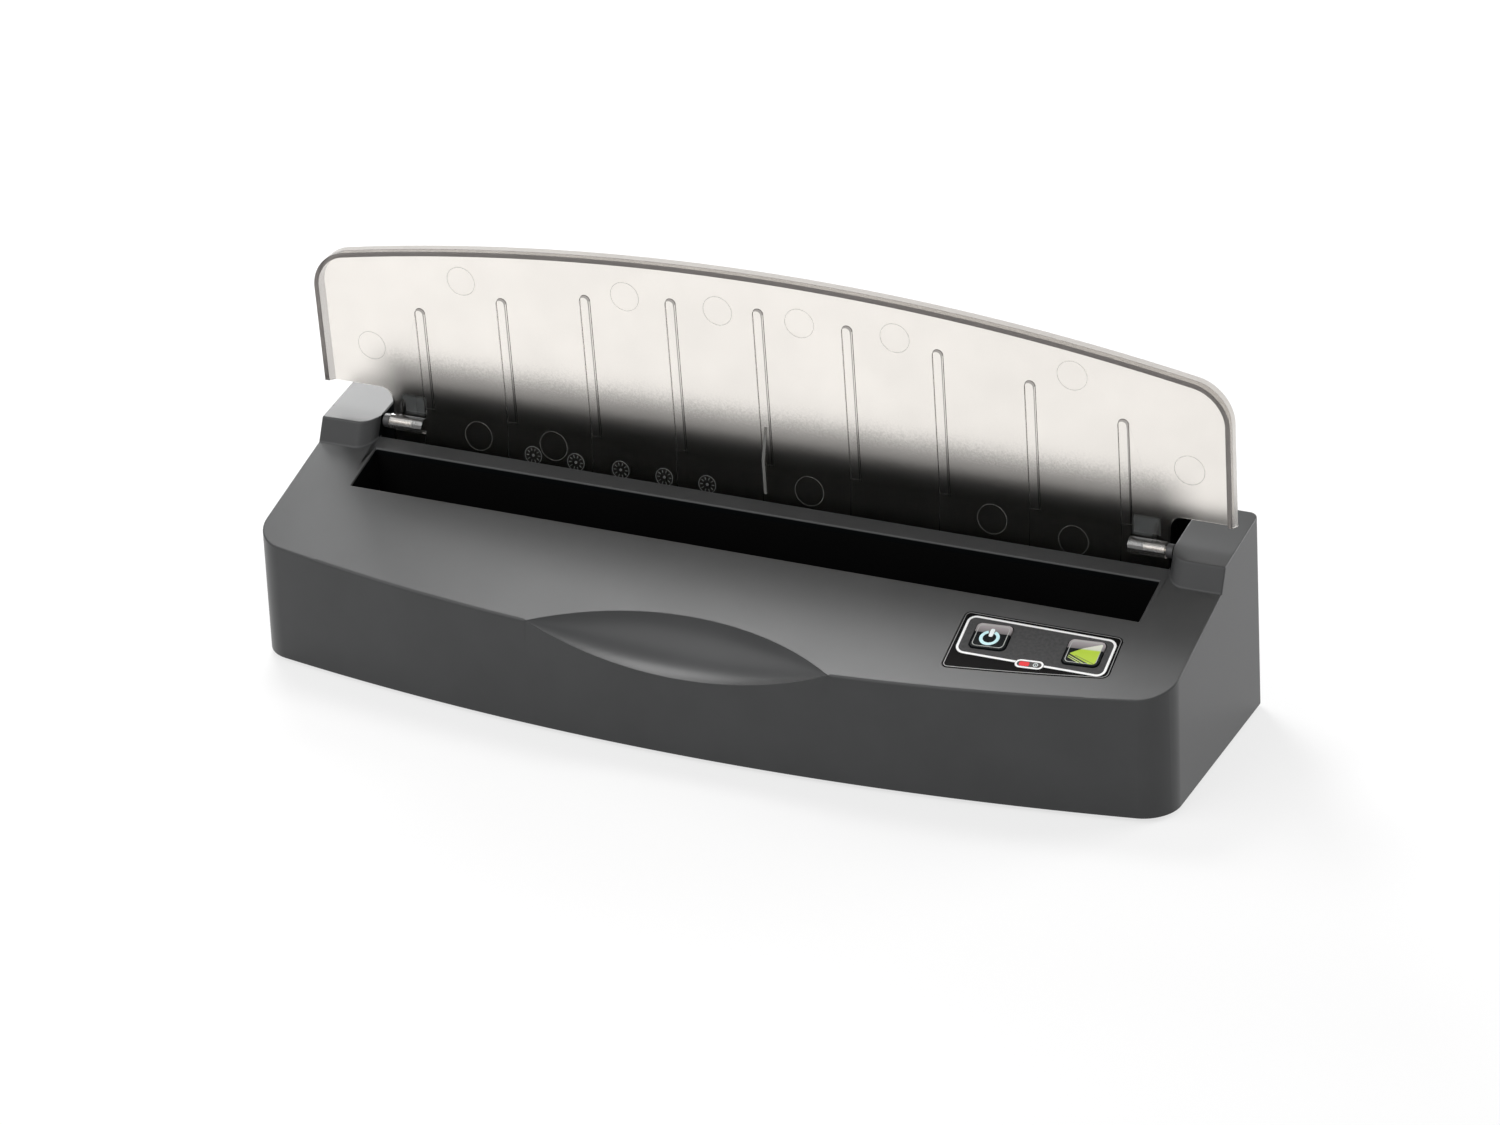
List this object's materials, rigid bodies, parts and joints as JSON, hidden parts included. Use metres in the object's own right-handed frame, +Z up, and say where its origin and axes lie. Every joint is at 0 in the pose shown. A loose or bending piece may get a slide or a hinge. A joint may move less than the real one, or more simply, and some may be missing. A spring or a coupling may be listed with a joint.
{
  "type": "thermal binding machine",
  "caption": "Desktop thermal binder with a sloped casing, a heated binding slot, two keys and a clear fold-down lid.",
  "frame": {"origin": "middle of the footprint on the surface that the feet stand on", "axes": "+X to the right along the binding slot, +Y to the back, +Z up; the lid stands open"},
  "size_m": [0.358, 0.1086, 0.1536],
  "materials": {
    "housing_plastic": "matte",
    "base_plastic": "matte",
    "foot_rubber": "matte",
    "screw_steel": "satin",
    "liner_plastic": "matte",
    "heater_aluminium": "satin",
    "mica": "matte",
    "sheet_steel": "satin",
    "fuse_plastic": "matte",
    "clear_plastic": "gloss",
    "pin_steel": "polished",
    "panel_plastic": "gloss",
    "key_plastic": "gloss",
    "lens_plastic": "gloss",
    "circuit_board": "satin",
    "transformer_tape": "satin",
    "relay_plastic": "satin",
    "capacitor_sleeve": "gloss",
    "terminal_plastic": "matte"
  },
  "bodies": {
    "machine": {"upper_housing": "housing_plastic", "base_plate": "base_plastic", "rubber_feet": "foot_rubber", "base_screws": "screw_steel", "slot_liner": "liner_plastic", "liner_screws": "screw_steel", "heater_plate": "heater_aluminium", "heating_element": "mica", "element_insulator": "mica", "element_clamp": "sheet_steel", "clamp_screws": "screw_steel", "heater_brackets": "sheet_steel", "bracket_screws": "screw_steel", "thermostat": "sheet_steel", "thermal_fuse": "fuse_plastic", "fuse_clip": "sheet_steel", "hinge_pins": "pin_steel", "hinge_washers": "liner_plastic", "panel_overlay": "panel_plastic", "indicator_lens": "lens_plastic", "switch_bodies": "liner_plastic", "indicator_led": "lens_plastic", "control_board": "circuit_board", "board_screws": "screw_steel", "buzzer": "liner_plastic", "power_board": "circuit_board", "power_board_screws": "screw_steel", "transformer": "transformer_tape", "relay": "relay_plastic", "capacitor": "capacitor_sleeve", "terminal_block": "terminal_plastic", "mains_inlet": "liner_plastic", "inlet_pins": "pin_steel"},
    "lid": {"lid": "clear_plastic"},
    "power_key": {"power_button": "key_plastic", "power_switch_plunger": "liner_plastic"},
    "start_key": {"start_button": "key_plastic", "start_switch_plunger": "liner_plastic"}
  },
  "joints": [
    {"name": "lid_fold", "type": "hinge", "parent": "machine", "child": "lid", "pos_m": [0, 0.0282, 0.06979], "axis": [1, 0, 0], "range_deg": [0, 104]},
    {"name": "power_press", "type": "slide", "parent": "machine", "child": "power_key", "axis": [0, 0.2807, -0.9598], "range_m": [0, 0.0006], "stiffness_N_per_m": 400, "springref_m": -0.0005},
    {"name": "start_press", "type": "slide", "parent": "machine", "child": "start_key", "axis": [0, 0.2807, -0.9598], "range_m": [0, 0.0006], "stiffness_N_per_m": 400, "springref_m": -0.0005}
  ]
}
